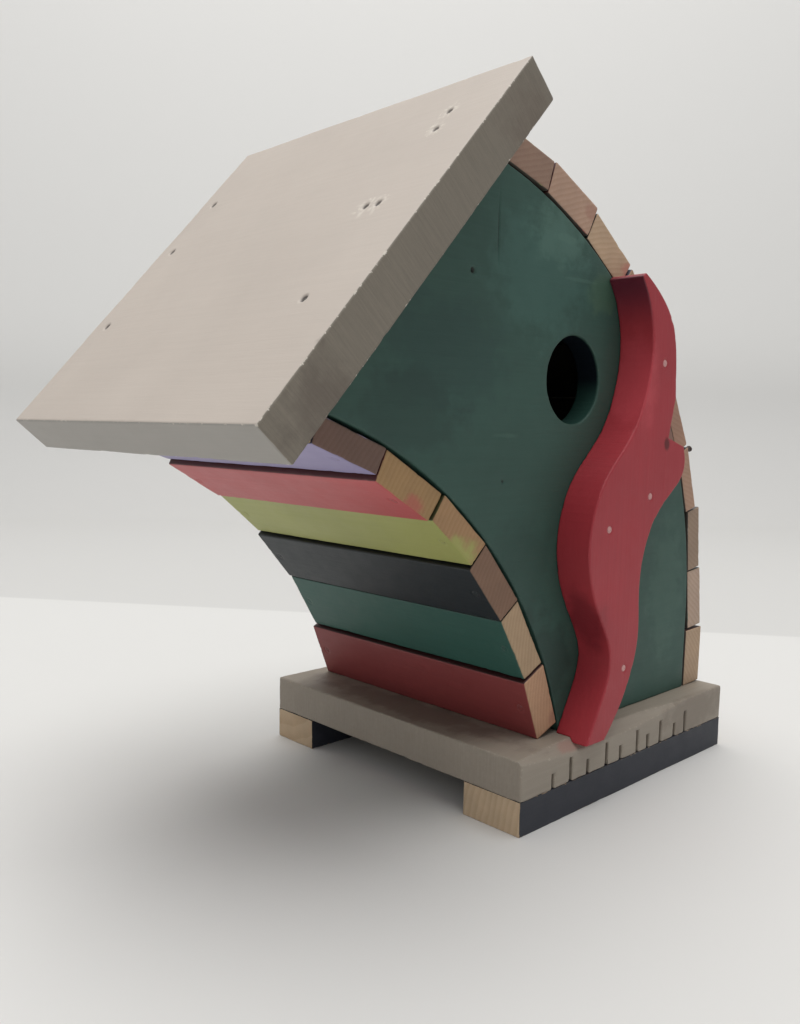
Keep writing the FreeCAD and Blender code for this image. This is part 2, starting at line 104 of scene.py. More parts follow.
class Shader:
    """A material's node tree, with a short call for each kind of node."""

    def __init__(self, name, roughness):
        self.material = bpy.data.materials.new(name)
        self.material.use_nodes = True
        self.tree = self.material.node_tree
        self.surface = self.tree.nodes["Principled BSDF"]
        self.surface.inputs["Roughness"].default_value = roughness

    def feed(self, socket, value):
        """Links a socket to another node's output, or sets it to a constant."""
        if isinstance(value, bpy.types.NodeSocket):
            self.tree.links.new(value, socket)
        else:
            socket.default_value = value

    def add(self, kind, **settings):
        """A new node, with its properties set."""
        made = self.tree.nodes.new(kind)
        for key, value in settings.items():
            setattr(made, key, value)
        return made

    def attribute(self, name, output="Fac"):
        """A value that store() has kept on the mesh."""
        return self.add("ShaderNodeAttribute", attribute_name=name).outputs[output]

    def place(self):
        """Where a point is in the birdhouse's own frame, in millimetres."""
        here = self.add("ShaderNodeTexCoord").outputs["Object"]
        return self.vector("MULTIPLY", here, (1000, 1000, 1000))

    def math(self, operation, a, b=0.0, c=0.0, clamp=False):
        made = self.add("ShaderNodeMath", operation=operation, use_clamp=clamp)
        for socket, value in zip(made.inputs, (a, b, c)):
            self.feed(socket, value)
        return made.outputs[0]

    def vector(self, operation, a, b=(0, 0, 0), output="Vector"):
        made = self.add("ShaderNodeVectorMath", operation=operation)
        self.feed(made.inputs[0], a)
        self.feed(made.inputs[1], b)
        return made.outputs[output]

    def noise(self, vector, scale, detail=2.0, roughness=0.5):
        made = self.add("ShaderNodeTexNoise")
        self.feed(made.inputs["Vector"], vector)
        made.inputs["Scale"].default_value = scale
        made.inputs["Detail"].default_value = detail
        made.inputs["Roughness"].default_value = roughness
        return made.outputs["Fac"]

    def stretched(self, vector, scales, detail=4.0, roughness=0.55):
        """Noise with its own scale along each axis, in features per millimetre."""
        return self.noise(self.vector("MULTIPLY", vector, scales), 1.0, detail, roughness)

    def ramp(self, value, low, high):
        """0 below low, 1 above high, and smooth between."""
        made = self.add("ShaderNodeMapRange", interpolation_type="SMOOTHSTEP")
        self.feed(made.inputs["Value"], value)
        self.feed(made.inputs["From Min"], low)
        self.feed(made.inputs["From Max"], high)
        return made.outputs["Result"]

    def level(self, value, low, high):
        """A value from 0 to 1 as a number from low to high."""
        return self.math("MULTIPLY_ADD", value, high - low, low)

    def blend(self, factor, a, b):
        """Colour a where the factor is 0, b where it is 1."""
        made = self.add("ShaderNodeMix", data_type="RGBA")
        self.feed(made.inputs[0], factor)
        self.feed(made.inputs[6], a)
        self.feed(made.inputs[7], b)
        return made.outputs[2]

    def shade(self, colour, level):
        """A colour made lighter or darker by a level around 1."""
        made = self.add("ShaderNodeVectorMath", operation="SCALE")
        self.feed(made.inputs[0], colour[:3] if isinstance(colour, tuple) else colour)
        self.feed(made.inputs["Scale"], level)
        return made.outputs["Vector"]

    def finish(self, colour, roughness, height, depth):
        """Gives the surface its colour, roughness and a relief of a depth in mm."""
        bump = self.add("ShaderNodeBump")
        bump.inputs["Strength"].default_value = 1.0
        bump.inputs["Distance"].default_value = depth * MM
        self.feed(bump.inputs["Height"], height)
        self.feed(self.surface.inputs["Base Color"], colour)
        self.feed(self.surface.inputs["Roughness"], roughness)
        self.feed(self.surface.inputs["Normal"], bump.outputs["Normal"])
        return self.material


RING_SPACING = 2.3        # in mm
RUN_OUT = 0.018           # how fast the growth rings drift across a board along its grain
DARK_RING = (0.86, 0.80, 0.74)
RIM = 0.6                 # how softly the painted shade of a bore ends outside its wall, in mm
LOW_RIGHT = (0.6, 0.0, -0.8)    # towards the side of a bore that catches some light


def board_material(name, paint, wood=PINE, ends=None, sides=None, worn=None, wear=0.3, bleed=0.5,
                   gloss=0.58, blots=(), ragged_blots=0.7, side_shade=None, brush=0.07, saw=1.0,
                   relief_depth=0.22, bore=None):
    """Painted timber whose ends and hidden faces may be bare.

    It reads what plank() stores in each board: grain is the point in the board's own axes, in
    mm; end, side and back say which way a point faces, and bare where there is no paint; arris
    is the distance to the nearest edge; hollow is the depth of a dent or hole; chip is where
    the wood is splintered.

    wood is the bare timber's colour, ends and sides are the paint's colour there, and worn is
    what shows where the paint is rubbed off. wear and bleed are how far, in mm, it is rubbed off
    from the arrises and has run over onto bare ends. brush and saw are how strong the marks of
    the brush and the saw are. A blot is (centre, reach along x, y and z, colour, strength);
    ragged_blots is how uneven their outlines are. Painted shade on the sides is (low, high,
    colour, strength): it covers the board's sides above high and fades to nothing at low. A bore
    is (centre, radius, face): a hole in a face at that y, its inside painted in shade, less so
    on its low right side where some light would reach.
    """
    s = Shader(name, gloss)
    grain = s.attribute("grain", "Vector")
    end = s.ramp(s.attribute("end"), 0.45, 0.75)
    arris = s.attribute("arris")
    mottle = s.noise(grain, 0.022, 3.0)
    patches = s.noise(grain, 0.11, 4.0, 0.6)
    fibres = s.stretched(grain, (0.014, 0.5, 0.5), 6.0, 0.62)
    hairs = s.stretched(grain, (0.07, 2.6, 2.6), 4.0)
    specks = s.noise(grain, 1.9, 3.0, 0.7)
    sawing = s.stretched(grain, (0.9, 1.15, 0.06), 5.0, 0.7)

    # growth rings about a pith outside the board, tilted a little so that they run out on its face
    tilted = s.vector("MULTIPLY", grain, (RUN_OUT, 1.0, 1.0))
    waver = s.math("MULTIPLY", s.stretched(grain, (0.012, 0.05, 0.05), 2.0), 2.6)
    radius = s.math("ADD", s.vector("LENGTH", tilted, output="Value"), waver)
    cycle = s.math("FRACT", s.math("DIVIDE", radius, RING_SPACING))
    rings = s.math("SUBTRACT", s.ramp(cycle, 0.15, 0.82), s.ramp(cycle, 0.9, 1.0))

    # bare wood: faint rings on its ends, plainer ones along it, grey inside the house
    light = linear(wood)
    dark = linear(tuple(v * k for v, k in zip(wood, DARK_RING)))
    ring_depth = s.math("MULTIPLY", rings, s.level(end, 0.75, 0.42))
    timber = s.blend(s.math("MULTIPLY", ring_depth, s.level(fibres, 0.4, 1.0)), light, dark)
    timber = s.shade(timber, s.level(specks, 0.90, 1.10))
    timber = s.shade(timber, s.level(patches, 0.84, 1.16))
    timber = s.shade(timber, s.level(mottle, 0.86, 1.14))
    timber = s.blend(s.ramp(s.attribute("back"), 0.45, 0.75), timber, linear(GREY_PINE))
    sawn = s.math("MULTIPLY", end, s.level(sawing, -0.16, 0.16))

    # paint, thin enough to show the fibres under it
    coat = linear(paint)
    if sides is not None:
        coat = s.blend(s.ramp(s.attribute("side"), 0.45, 0.75), coat, linear(sides))
    if ends is not None:
        coat = s.blend(end, coat, linear(ends))
    coat = s.shade(coat, s.level(mottle, 1 - 2.6 * brush, 1 + 2.6 * brush))
    coat = s.shade(coat, s.level(fibres, 1 - 1.6 * brush, 1 + 1.6 * brush))
    coat = s.shade(coat, s.level(hairs, 1 - brush, 1 + brush))
    coat = s.shade(coat, s.level(specks, 1 - 0.8 * brush, 1 + 0.8 * brush))
    coat = s.shade(coat, s.math("ADD", s.math("MULTIPLY", sawn, saw), 1.0))

    # where it is worn off at the arrises, and where it has run over onto a bare end
    ragged = s.noise(grain, 0.42, 4.0, 0.65)
    worn_reach = s.math("MULTIPLY", s.ramp(ragged, 0.46, 0.72), wear * 2.4)
    rubbed = s.ramp(s.math("SUBTRACT", worn_reach, arris), -0.1, 0.25)
    run_reach = s.math("MULTIPLY", s.ramp(patches, 0.35, 0.75), bleed)
    run = s.ramp(s.math("SUBTRACT", run_reach, arris), -0.15, 0.2)
    bare = s.ramp(s.attribute("bare"), 0.45, 0.75)
    unpainted = s.math("MULTIPLY", bare, s.math("SUBTRACT", 1.0, run))
    rubbed = s.math("MULTIPLY", rubbed, s.math("SUBTRACT", 1.0, bare))
    rubbed = s.math("MAXIMUM", rubbed, s.attribute("chip"))
    exposed = s.math("MAXIMUM", unpainted, rubbed)
    under = timber if worn is None else s.blend(unpainted, linear(worn), timber)
    colour = s.blend(exposed, coat, under)

    place = s.place()
    # painted shade on the board's sides, full above high and fading out at low
    if side_shade is not None:
        low, high, tint, strength = side_shade
        height = s.vector("DOT_PRODUCT", place, (0.0, 0.0, 1.0), output="Value")
        on_side = s.ramp(s.attribute("side"), 0.3, 0.8)
        side_shaded = s.math("MULTIPLY", s.ramp(height, low, high), on_side)
        colour = s.blend(s.math("MULTIPLY", side_shaded, strength), colour, linear(tint))
    for centre, reach, tint, strength in blots:
        away = s.vector("SUBTRACT", place, centre)
        away = s.vector("DIVIDE", away, reach)
        uneven = s.level(patches, -ragged_blots, ragged_blots)
        edge = s.math("ADD", s.vector("LENGTH", away, output="Value"), uneven)
        inside = s.math("SUBTRACT", 1.0, s.ramp(edge, 0.45, 1.0))
        colour = s.blend(s.math("MULTIPLY", inside, strength), colour, linear(tint))
    # painted shade inside the bore: dark, less so on its low right side where some light would
    # reach
    if bore is not None:
        centre, reach, face = bore
        flat = s.vector("MULTIPLY", s.vector("SUBTRACT", place, centre), (1, 0, 1))
        off_centre = s.vector("LENGTH", flat, output="Value")
        within = s.math("SUBTRACT", 1.0, s.ramp(off_centre, reach, reach + RIM))
        depth = s.add("ShaderNodeSeparateXYZ")
        s.feed(depth.inputs[0], place)
        behind = s.ramp(depth.outputs["Y"], face + 0.3, face + 2.0)
        low_right = s.vector("DOT_PRODUCT", flat, LOW_RIGHT, output="Value")
        dark = s.level(s.ramp(low_right, 0.5 * reach, 0.95 * reach), 0.97, 0.25)
        bored = s.math("MULTIPLY", within, behind)
        colour = s.blend(s.math("MULTIPLY", bored, dark), colour, linear(SHADE))
        s.feed(s.surface.inputs["Specular IOR Level"], s.level(bored, 0.5, 0.08))

    shadow = s.ramp(s.attribute("hollow"), 0.15, 0.8)
    colour = s.blend(s.math("MULTIPLY", shadow, 0.85), colour, linear(HOLLOW_SHADE))
    relief = s.math("ADD", s.math("MULTIPLY", fibres, 0.55), s.math("MULTIPLY", hairs, 0.25))
    relief = s.math("ADD", relief, s.math("MULTIPLY", specks, 0.12))
    relief = s.math("ADD", relief, s.math("MULTIPLY", s.math("MULTIPLY", sawing, end), 1.1 * saw))
    relief = s.math("SUBTRACT", relief, s.math("MULTIPLY", exposed, 0.25))
    rough = s.level(patches, gloss - 0.10, gloss + 0.08)
    rough = s.math("ADD", rough, s.math("MULTIPLY", exposed, 0.22), clamp=True)
    return s.finish(colour, rough, relief, relief_depth)


def metal_material(name, colour, gloss=0.42):
    """Dull steel with specks of rust and the marks of the hammer."""
    s = Shader(name, gloss)
    s.surface.inputs["Metallic"].default_value = 0.85
    place = s.place()
    tarnish = s.noise(place, 0.5, 4.0, 0.6)
    scratches = s.stretched(place, (3.0, 3.0, 0.4), 3.0)
    tone = s.shade(linear(colour), s.level(tarnish, 0.6, 1.25))
    rust = s.ramp(s.noise(place, 1.3, 5.0, 0.7), 0.60, 0.72)
    tone = s.blend(rust, tone, linear(RUST))
    rough = s.level(tarnish, gloss - 0.12, gloss + 0.16)
    rough = s.math("ADD", rough, s.math("MULTIPLY", rust, 0.3), clamp=True)
    return s.finish(tone, rough, s.math("ADD", tarnish, s.math("MULTIPLY", scratches, 0.5)), 0.06)


def nail_material():
    """Steel nails, most of them painted over with the board; the coat is worn at the rim."""
    s = Shader("nail_heads", 0.5)
    place = s.place()
    tarnish = s.noise(place, 0.7, 4.0, 0.6)
    steel = s.shade(linear(STEEL), s.level(tarnish, 0.35, 1.0))
    chipped = s.ramp(s.noise(place, 1.1, 4.0, 0.7), 0.56, 0.66)
    coated = s.math("MULTIPLY", s.attribute("coated"), s.math("SUBTRACT", 1.0, chipped))
    coat = s.shade(s.attribute("coat", "Color"), s.level(tarnish, 0.8, 1.15))
    tone = s.blend(coated, steel, coat)
    s.feed(s.surface.inputs["Metallic"], s.math("MULTIPLY", s.math("SUBTRACT", 1.0, coated), 0.8))
    return s.finish(tone, s.level(tarnish, 0.38, 0.7), tarnish, 0.08)


# ---- boards -----------------------------------------------------------------------------

EASE = 0.7                # how far the arrises are rounded, in mm
SHARP = math.radians(25)  # edges that turn more than this are arrises
FLAT = math.radians(0.5)  # and faces that turn less than this are one face
FINE_STEP = 0.6
END_DEPTHS = (1.1, 1.9, 3.0)
WIDE_DENT = 6.0           # a dent that reaches further than this gets no fine slices that way
WARP = 38                 # the size, in mm, of the waves that warp a board
BITE = 4.5                # of the bites out of its arrises
NIBBLE = 1.7              # of the smaller bites in those
SPLINTER = 1.3            # and of the splinters round a rough dent
SPLINTERED = (0.7, 2.2)   # how near and how far those are, in dent radii


def board_axes(node, along, facing):
    """A board's own axes: along its grain, across it, and out of its broad face."""
    totals = {}
    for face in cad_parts[node].data.polygons:
        normal = face.normal
        if abs(normal.dot(along)) < 0.5 and abs(normal.dot(facing)) > 0.05:
            normal = normal if normal.dot(facing) > 0 else -normal
            key = tuple(round(v, 2) for v in normal)
            area, _ = totals.get(key, (0.0, None))
            totals[key] = (area + face.area, normal.copy())
    out = max(totals.values(), key=lambda entry: entry[0])[1]
    out = (out - along * out.dot(along)).normalized()
    return along, out.cross(along), out


def slices(low, high, step, fine):
    """Where a board is sliced along one axis: evenly, and finely at its ends and at each place
    in fine, given as (middle, reach)."""
    count = max(2, round((high - low) / step) + 1)
    marks = list(np.linspace(low, high, count)[1:-1])
    for end, inwards in ((low, 1), (high, -1)):
        marks += [end + inwards * depth for depth in END_DEPTHS]
    for middle, reach in fine:
        marks += list(np.arange(middle - reach, middle + reach + FINE_STEP / 2, FINE_STEP))
    kept = []
    for mark in sorted(marks):
        if low + EASE < mark < high - EASE and (not kept or mark - kept[-1] > FINE_STEP / 2):
            kept.append(mark)
    return kept


def distance_to_edges(points, edges):
    """Each point's distance to the nearest of a list of segments."""
    nearest = np.full(len(points), 1e9)
    for a, b in edges:
        run = b - a
        t = np.clip(((points - a) @ run) / max(run @ run, 1e-9), 0, 1)
        nearest = np.minimum(nearest, np.linalg.norm(points - (a + t[:, None] * run), axis=1))
    return nearest


class Dent:
    """A dent, hole or crack in a board's broad face, at a point of the birdhouse, in mm.

    Along the grain it reaches as far as radius times oval; rough splinters the wood round it.
    """

    def __init__(self, place, radius, depth, oval=1.0, rough=0.0):
        self.place = Vector(place)
        self.reach = (radius * oval, radius)
        self.depth = depth
        self.rough = rough


def plank(node, along, facing, step=3.0, dents=(), wobble=0.16, chips=0.45, bare_ends=True,
          bare_back=True, seed=0, body="house"):
    """The board that stands for a CAD node, as a new piece.

    along is its grain and facing is roughly where its broad face looks; step is how far apart
    it is sliced, and wobble and chips are how far it is warped and how much its arrises are
    chipped. The seed makes each board's warp, chips and grain its own.
    """
    axes = board_axes(node, along, facing)
    to_board = Matrix(axes).to_4x4() @ Matrix.Scale(1 / MM, 4)
    bm = bmesh.new()
    bm.from_mesh(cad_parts[node].data)
    bmesh.ops.remove_doubles(bm, verts=bm.verts, dist=1e-6)
    bm.transform(to_board)
    bm.normal_update()
    bmesh.ops.dissolve_limit(bm, angle_limit=FLAT, verts=bm.verts, edges=bm.edges)
    bm.normal_update()
    sharp = [e for e in bm.edges if len(e.link_faces) == 2 and e.calc_face_angle() > SHARP]
    segments = [(np.array(e.verts[0].co), np.array(e.verts[1].co)) for e in sharp]
    corners = np.array([v.co for v in bm.verts])
    low, high = corners.min(0), corners.max(0)
    bmesh.ops.bevel(bm, geom=sharp, offset=EASE, segments=2, profile=0.5, affect="EDGES",
                    offset_type="OFFSET", clamp_overlap=True)
    bmesh.ops.triangulate(bm, faces=[f for f in bm.faces if len(f.verts) > 4])
    local = [(np.array(to_board @ (d.place * MM)), d) for d in dents]
    for axis in range(3):
        fine = []
        if axis < 2:
            fine = [(p[axis], d.reach[axis] + 1.2) for p, d in local if d.reach[axis] < WIDE_DENT]
        normal = Vector((0, 0, 0))
        normal[axis] = 1
        for mark in slices(low[axis], high[axis], step, fine):
            geometry = bm.verts[:] + bm.edges[:] + bm.faces[:]
            bmesh.ops.bisect_plane(bm, geom=geometry, dist=1e-4, plane_co=normal * mark,
                                   plane_no=normal)
    bm.normal_update()
    bm.verts.ensure_lookup_table()
    points = np.array([v.co for v in bm.verts])
    normals = np.array([v.normal for v in bm.verts])
    arris = distance_to_edges(points, segments)
    hollow = np.zeros(len(points))
    chip = np.zeros(len(points))
    shift = Vector((seed * 13.7, seed * 7.3, seed * 3.1))
    moved = np.zeros(len(points))
    for i, point in enumerate(points):
        p = Vector(point)
        moved[i] += wobble * noise.noise(p / WARP + shift)
        if arris[i] < EASE * 1.3:
            bite = noise.noise(p / BITE + shift * 2) + 0.6 * noise.noise(p / NIBBLE + shift)
            moved[i] -= chips * max(0.0, bite - 0.12)
    for centre, dent in local:
        across = points - centre
        away = np.hypot(across[:, 0] / dent.reach[0], across[:, 1] / dent.reach[1])
        front = (normals[:, 2] > 0.6) & (np.abs(across[:, 2]) < 6)
        dip = dent.depth * np.clip(1 - away ** 2, 0, 1) ** 1.5 * front
        moved -= dip
        hollow = np.maximum(hollow, dip)
        if dent.rough:
            near, far = SPLINTERED
            for i in np.flatnonzero(front & (away > near) & (away < far)):
                splinter = noise.noise(Vector(points[i]) / SPLINTER + shift) + 0.15
                moved[i] += dent.rough * splinter * (far - away[i])
                chip[i] = max(0.0, splinter) * 1.5
    points = points + normals * moved[:, None]
    for vert, place in zip(bm.verts, points):
        vert.co = place
    bm.transform(to_board.inverted())
    mesh = bpy.data.meshes.new(node + "_timber")
    bm.to_mesh(mesh)
    bm.free()
    mesh.shade_smooth()
    offset = np.array((seed * 211.0, 24.0 + 17.0 * (seed % 5), 31.0 + 9.0 * (seed % 3)))
    ends = np.abs(normals[:, 0])
    back = np.clip(-normals[:, 2], 0, 1) * bare_back
    store(mesh, "grain", "FLOAT_VECTOR", points + offset)
    store(mesh, "end", "FLOAT", ends)
    store(mesh, "side", "FLOAT", np.abs(normals[:, 1]))
    store(mesh, "back", "FLOAT", back)
    store(mesh, "bare", "FLOAT", np.maximum(back, ends * bare_ends))
    store(mesh, "arris", "FLOAT", arris)
    store(mesh, "hollow", "FLOAT", hollow)
    store(mesh, "chip", "FLOAT", np.clip(chip, 0, 1))
    return add_piece("timber_" + node, mesh, body, node)


def store(mesh, name, kind, values):
    """Keeps a value for every vertex, for the material to read."""
    layer = mesh.attributes.new(name, kind, "POINT")
    field = {"FLOAT": "value", "FLOAT_VECTOR": "vector", "FLOAT_COLOR": "color"}[kind]
    layer.data.foreach_set(field, np.asarray(values, np.float32).ravel())


def add_piece(name, mesh, body, *replaced):
    """A mesh as a piece that rides on a body and takes the place of CAD nodes."""
    piece = bpy.data.objects.new(name, mesh)
    bpy.context.scene.collection.objects.link(piece)
    weighted = piece.modifiers.new("even_faces", "WEIGHTED_NORMAL")
    weighted.keep_sharp = True
    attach(piece, body)
    if replaced:
        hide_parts(*replaced)
    return piece


def dress(piece, material):
    """Gives a piece its one material and the slot it fills."""
    piece.data.materials.clear()
    piece.data.materials.append(material)


# ---- nails ------------------------------------------------------------------------------

def loose_parts(node):
    """The separate solids of a CAD node, each as an array of points in mm."""
    bm = bmesh.new()
    bm.from_mesh(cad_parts[node].data)
    bmesh.ops.remove_doubles(bm, verts=bm.verts, dist=1e-6)
    seen = set()
    parts = []
    for start in bm.verts:
        if start in seen:
            continue
        stack, part = [start], []
        seen.add(start)
        while stack:
            vert = stack.pop()
            part.append(np.array(vert.co) / MM)
            for edge in vert.link_edges:
                other = edge.other_vert(vert)
                if other not in seen:
                    seen.add(other)
                    stack.append(other)
        parts.append(np.array(part))
    bm.free()
    return parts


def nail_places(node):
    """Each nail of a CAD node: the middle of its head's top, the way out, its length."""
    places = []
    for part in loose_parts(node):
        middle = part.mean(0)
        _, _, rows = np.linalg.svd(part - middle)
        axis = rows[0]
        t = (part - middle) @ axis
        spread = np.linalg.norm((part - middle) - t[:, None] * axis, axis=1)
        if t[spread.argmax()] < 0:
            axis, t = -axis, -t
        top = t.max()
        core = part[t > top - 0.01].mean(0)
        places.append((Vector(core), Vector(axis), top - t.min()))
    return places


METAL_EASE = 0.15         # how far the edges of screws and washers are rounded, in mm
NAIL_SIDES = 20
NAIL_WOBBLE = 0.06        # how far from round nails are, as a part of their radius
SHANK = 0.9               # the radius of a nail's shank, in mm


def lathe(bm, profile, centre, axis, seed):
    """Turns a profile of (radius, height along the axis) about an axis, closed at both ends."""
    side = axis.orthogonal().normalized()
    other = axis.cross(side)
    rings = []
    for radius, height in profile:
        ring = []
        for k in range(NAIL_SIDES):
            angle = 2 * math.pi * k / NAIL_SIDES
            c, s = math.cos(angle), math.sin(angle)
            r = radius * (1 + NAIL_WOBBLE * noise.noise(Vector((c, s, seed + height))))
            spot = centre + axis * height + (side * c + other * s) * r
            ring.append(bm.verts.new(spot * MM))
        rings.append(ring)
    for below, above in zip(rings, rings[1:]):
        for k in range(NAIL_SIDES):
            j = (k + 1) % NAIL_SIDES
            bm.faces.new((below[k], below[j], above[j], above[k]))
    bm.faces.new(rings[0][::-1])
    bm.faces.new(rings[-1])


def nails(node, coats, coated, sunk, head):
    """The nails of a CAD node as one piece.

    coats gives each nail's colour from its place, and coated is how much of that coat is left;
    sunk is how far the heads are driven in and head is their radius, in mm.
    """
    bm = bmesh.new()
    tints = []
    for index, (top, axis, length) in enumerate(nail_places(node)):
        profile = [
            (0.05, -length), (SHANK * 0.7, -length + 1.6), (SHANK, -length + 3.0),
            (SHANK, -1.3), (head * 0.8, -0.95), (head, -0.7), (head, -0.3),
            (head * 0.9, -0.06), (head * 0.55, 0.0), (head * 0.1, -0.03),
        ]
        before = len(bm.verts)
        lathe(bm, profile, top - axis * sunk, axis, index)
        colour = coats(top)
        tints += [colour] * (len(bm.verts) - before)
    mesh = bpy.data.meshes.new(node + "_steel")
    bm.to_mesh(mesh)
    bm.free()
    mesh.shade_smooth()
    store(mesh, "coat", "FLOAT_COLOR", [linear(tint) for tint in tints])
    store(mesh, "coated", "FLOAT", [coated] * len(tints))
    return add_piece("steel_" + node, mesh, "house", node)


# ---- the boards and what is particular to each ------------------------------------------

# Each slat from the base upwards: its paint and the colour of its bare end
LEFT_SLATS = (
    (LOW_BRICK, (191, 152, 122)),
    (SLAT_GREEN, (182, 156, 126)),
    (CHARCOAL, (130, 102, 84)),
    (OLIVE, (166, 132, 96)),
    (BRICK, (164, 132, 92)),
    # the lavender slat's end is darker: brownish wood, and painted shadow of the roof above it
    (LAVENDER, (112, 88, 78)),
    (OLIVE, PINE),
)
RIGHT_SLATS = (
    (LOW_BRICK, (184, 158, 132)),
    (SLAT_GREEN, (186, 162, 144)),
    (ROOF_TAUPE, (154, 132, 114)),
    (CHARCOAL, (178, 144, 122)),
    (OLIVE, (168, 132, 112)),
    (BRICK, PINE),
    (LAVENDER, PINE),
    (SLAT_GREEN, (194, 166, 138)),
    (BRICK, (182, 150, 130)),
    # the top slat's end is darker: brownish wood, and painted shadow of the roof above it
    (OLIVE, (150, 122, 106)),
)
SLAT_SIDE_DARKENING = 0.42     # how much darker a slat's long edges are than its face

# Patches of colour on the slats' front ends, as blots: paint run over from their faces, and tints
SLAT_BLOTS = {
    "left_slat_1": (((-50, -77, 46), (6, 5, 6), (150, 104, 92), 0.4),),
    "left_slat_4": (((-125, -77, 129), (19, 5, 12), OLIVE, 0.9),),
    "left_slat_5": (((-147, -77, 152), (8, 5, 6), BRICK, 0.6),),
    "right_slat_8": (((-1, -77, 258), (9, 5, 7), (196, 112, 104), 0.55),),
    "right_slat_9": (((-34, -77, 282), (8, 5, 5), (160, 104, 92), 0.35),),
}

# Where faces that look forward are, in mm
BODY_FACE = -76.5
TRIM_FACE = -95.5
BEFORE_ROOF = -103        # a little before the roof's front end, so that its blots stop there
SPLIT_FROM = -170         # the roof is split at the front nails that are right of this


def nail_dents(node, near=None):
    """A shallow dent around each of a node's nail heads, or around those near a board."""
    return [Dent(top, 3.0, 0.5) for top, _, _ in nail_places(node) if near is None or near(top)]


def inside(node, reach=1.0):
    """A test of whether a point, in mm, is in or near a CAD node's box."""
    low, high = (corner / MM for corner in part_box(node))
    return lambda p: all(low[i] - reach < p[i] < high[i] + reach for i in range(3))


def slats(side, finishes, facing, first_seed):
    """One side's slats, from the base upwards."""
    for number, (paint, wood) in enumerate(finishes, start=1):
        node = f"{side}_slat_{number}"
        blots = SLAT_BLOTS.get(node, ())
        # the slat's long edges in a darker version of its paint
        darker_sides = tuple(SLAT_SIDE_DARKENING * v for v in paint)
        material = board_material(node + "_paint", paint, wood, sides=darker_sides, blots=blots,
                                  wear=0.12, brush=0.05, gloss=0.5)
        dents = nail_dents(f"{side}_slat_nails", inside(node))
        piece = plank(node, Y, facing, dents=dents, seed=first_seed + number, chips=0.3)
        dress(piece, material)


def roof():
    """The front nails went in beside each other and split the wood; the others went in clean."""
    dents = []
    for top, _, _ in nail_places("roof_nails"):
        split = top.y < 0 and top.x > SPLIT_FROM
        dents.append(Dent(top, 2.2, 1.1, rough=0.18) if split else Dent(top, 2.4, 1.3))
    blots = (
        ((-212, BEFORE_ROOF, 188), (28, 5, 30), (92, 80, 72), 0.5),
        ((-112, BEFORE_ROOF, 300), (24, 5, 24), (104, 88, 78), 0.4),
    )
    paint = board_material("roof_paint", ROOF_TAUPE, ends=ROOF_END, sides=ROOF_SIDE, worn=PALE_WORN,
                           blots=blots, wear=0.35, brush=0.025, saw=1.5, relief_depth=0.14)
    piece = plank("roof_board", Y, Vector((-0.7, 0, 0.7)), step=3.2, dents=dents, seed=41,
                  bare_ends=False, bare_back=False, chips=0.4, wobble=0.25)
    dress(piece, paint)


def base_and_feet():
    """The base is painted all over, with a painted shadow on its top along the left slats; the feet
    are bare at their ends.
    """
    blots = (
        ((-55, -89, 34), (10, 6, 4), (176, 112, 104), 0.3),
        ((62, -90, 27), (42, 4, 16), (120, 108, 96), 0.55),
        # painted shadow on the base's top, along the foot of the left slats
        ((-74, 0, 35), (15, 95, 4), (104, 92, 84), 0.6),
    )
    paint = board_material("base_paint", BASE_TAUPE, worn=BASE_WORN, wear=0.5, blots=blots,
                           brush=0.06)
    piece = plank("base_board", X, Z, seed=42, bare_ends=False, bare_back=False, wobble=0.2)
    dress(piece, paint)
    paint = board_material("foot_paint", NAVY, FOOT_PINE, wear=0.15, bleed=0.3, brush=0.05)
    for seed, node in ((43, "front_foot"), (44, "rear_foot")):
        piece = plank(node, X, -Z, seed=seed, bare_back=False, chips=0.3)
        dress(piece, paint)


def walls():
    """The front wall has scuffs, two small holes and a crack, with painted shade low down, under
    the roof's low end and inside the entrance's bore.
    """
    blots = (
        ((-52, BODY_FACE, 268), (13, 3, 2.2), SCUFF, 0.30),
        ((-44, BODY_FACE, 251), (17, 3, 1.2), SCUFF, 0.28),
        ((-93, BODY_FACE, 180), (10, 3, 1.4), SCUFF, 0.20),
        ((-72, BODY_FACE, 250), (44, 3, 34), (66, 106, 98), 0.35),
        ((-58, BODY_FACE, 270), (26, 3, 18), (92, 126, 114), 0.35),
        # painted shade low on the wall, then under the roof's low end
        ((-80, BODY_FACE, 118), (30, 3, 34), WALL_SHADE_GREEN, 0.35),
        ((-130, BODY_FACE, 212), (48, 3, 30), (28, 58, 56), 0.4),
        ((-24, BODY_FACE, 247), (14, 3, 13), (92, 118, 84), 0.22),
        ((48, BODY_FACE, 96), (22, 3, 46), SCUFF, 0.16),
        # painted shade low down near the base, then under the roof's low end
        ((-62, BODY_FACE, 70), (28, 3, 36), WALL_SHADE_GREEN, 0.7),
        ((-150, BODY_FACE, 190), (36, 3, 24), WALL_SHADE_GREEN, 0.5),
        ((46, BODY_FACE, 179), (11, 5, 11), (140, 104, 90), 0.95),
    )
    hole = ((-44.4, BODY_FACE, 205.5), 20.5, BODY_FACE)
    paint = board_material("wall_paint", GREEN, wear=0.15, brush=0.075, blots=blots, bore=hole)
    marks = [
        Dent((-116.5, BODY_FACE, 247), 1.5, 2.0),
        Dent((-93.7, BODY_FACE, 160), 1.1, 0.9),
        Dent((-101, BODY_FACE, 265), 17.0, 0.7, oval=0.035),
    ]
    piece = plank("front_wall", X, -Y, step=4.0, seed=45, dents=marks, bare_ends=False, chips=0.25)
    dress(piece, paint)
    paint = board_material("back_wall_paint", GREEN, wear=0.15, brush=0.06)
    piece = plank("back_wall", X, Y, step=4.0, seed=46, bare_ends=False, chips=0.25)
    dress(piece, paint)


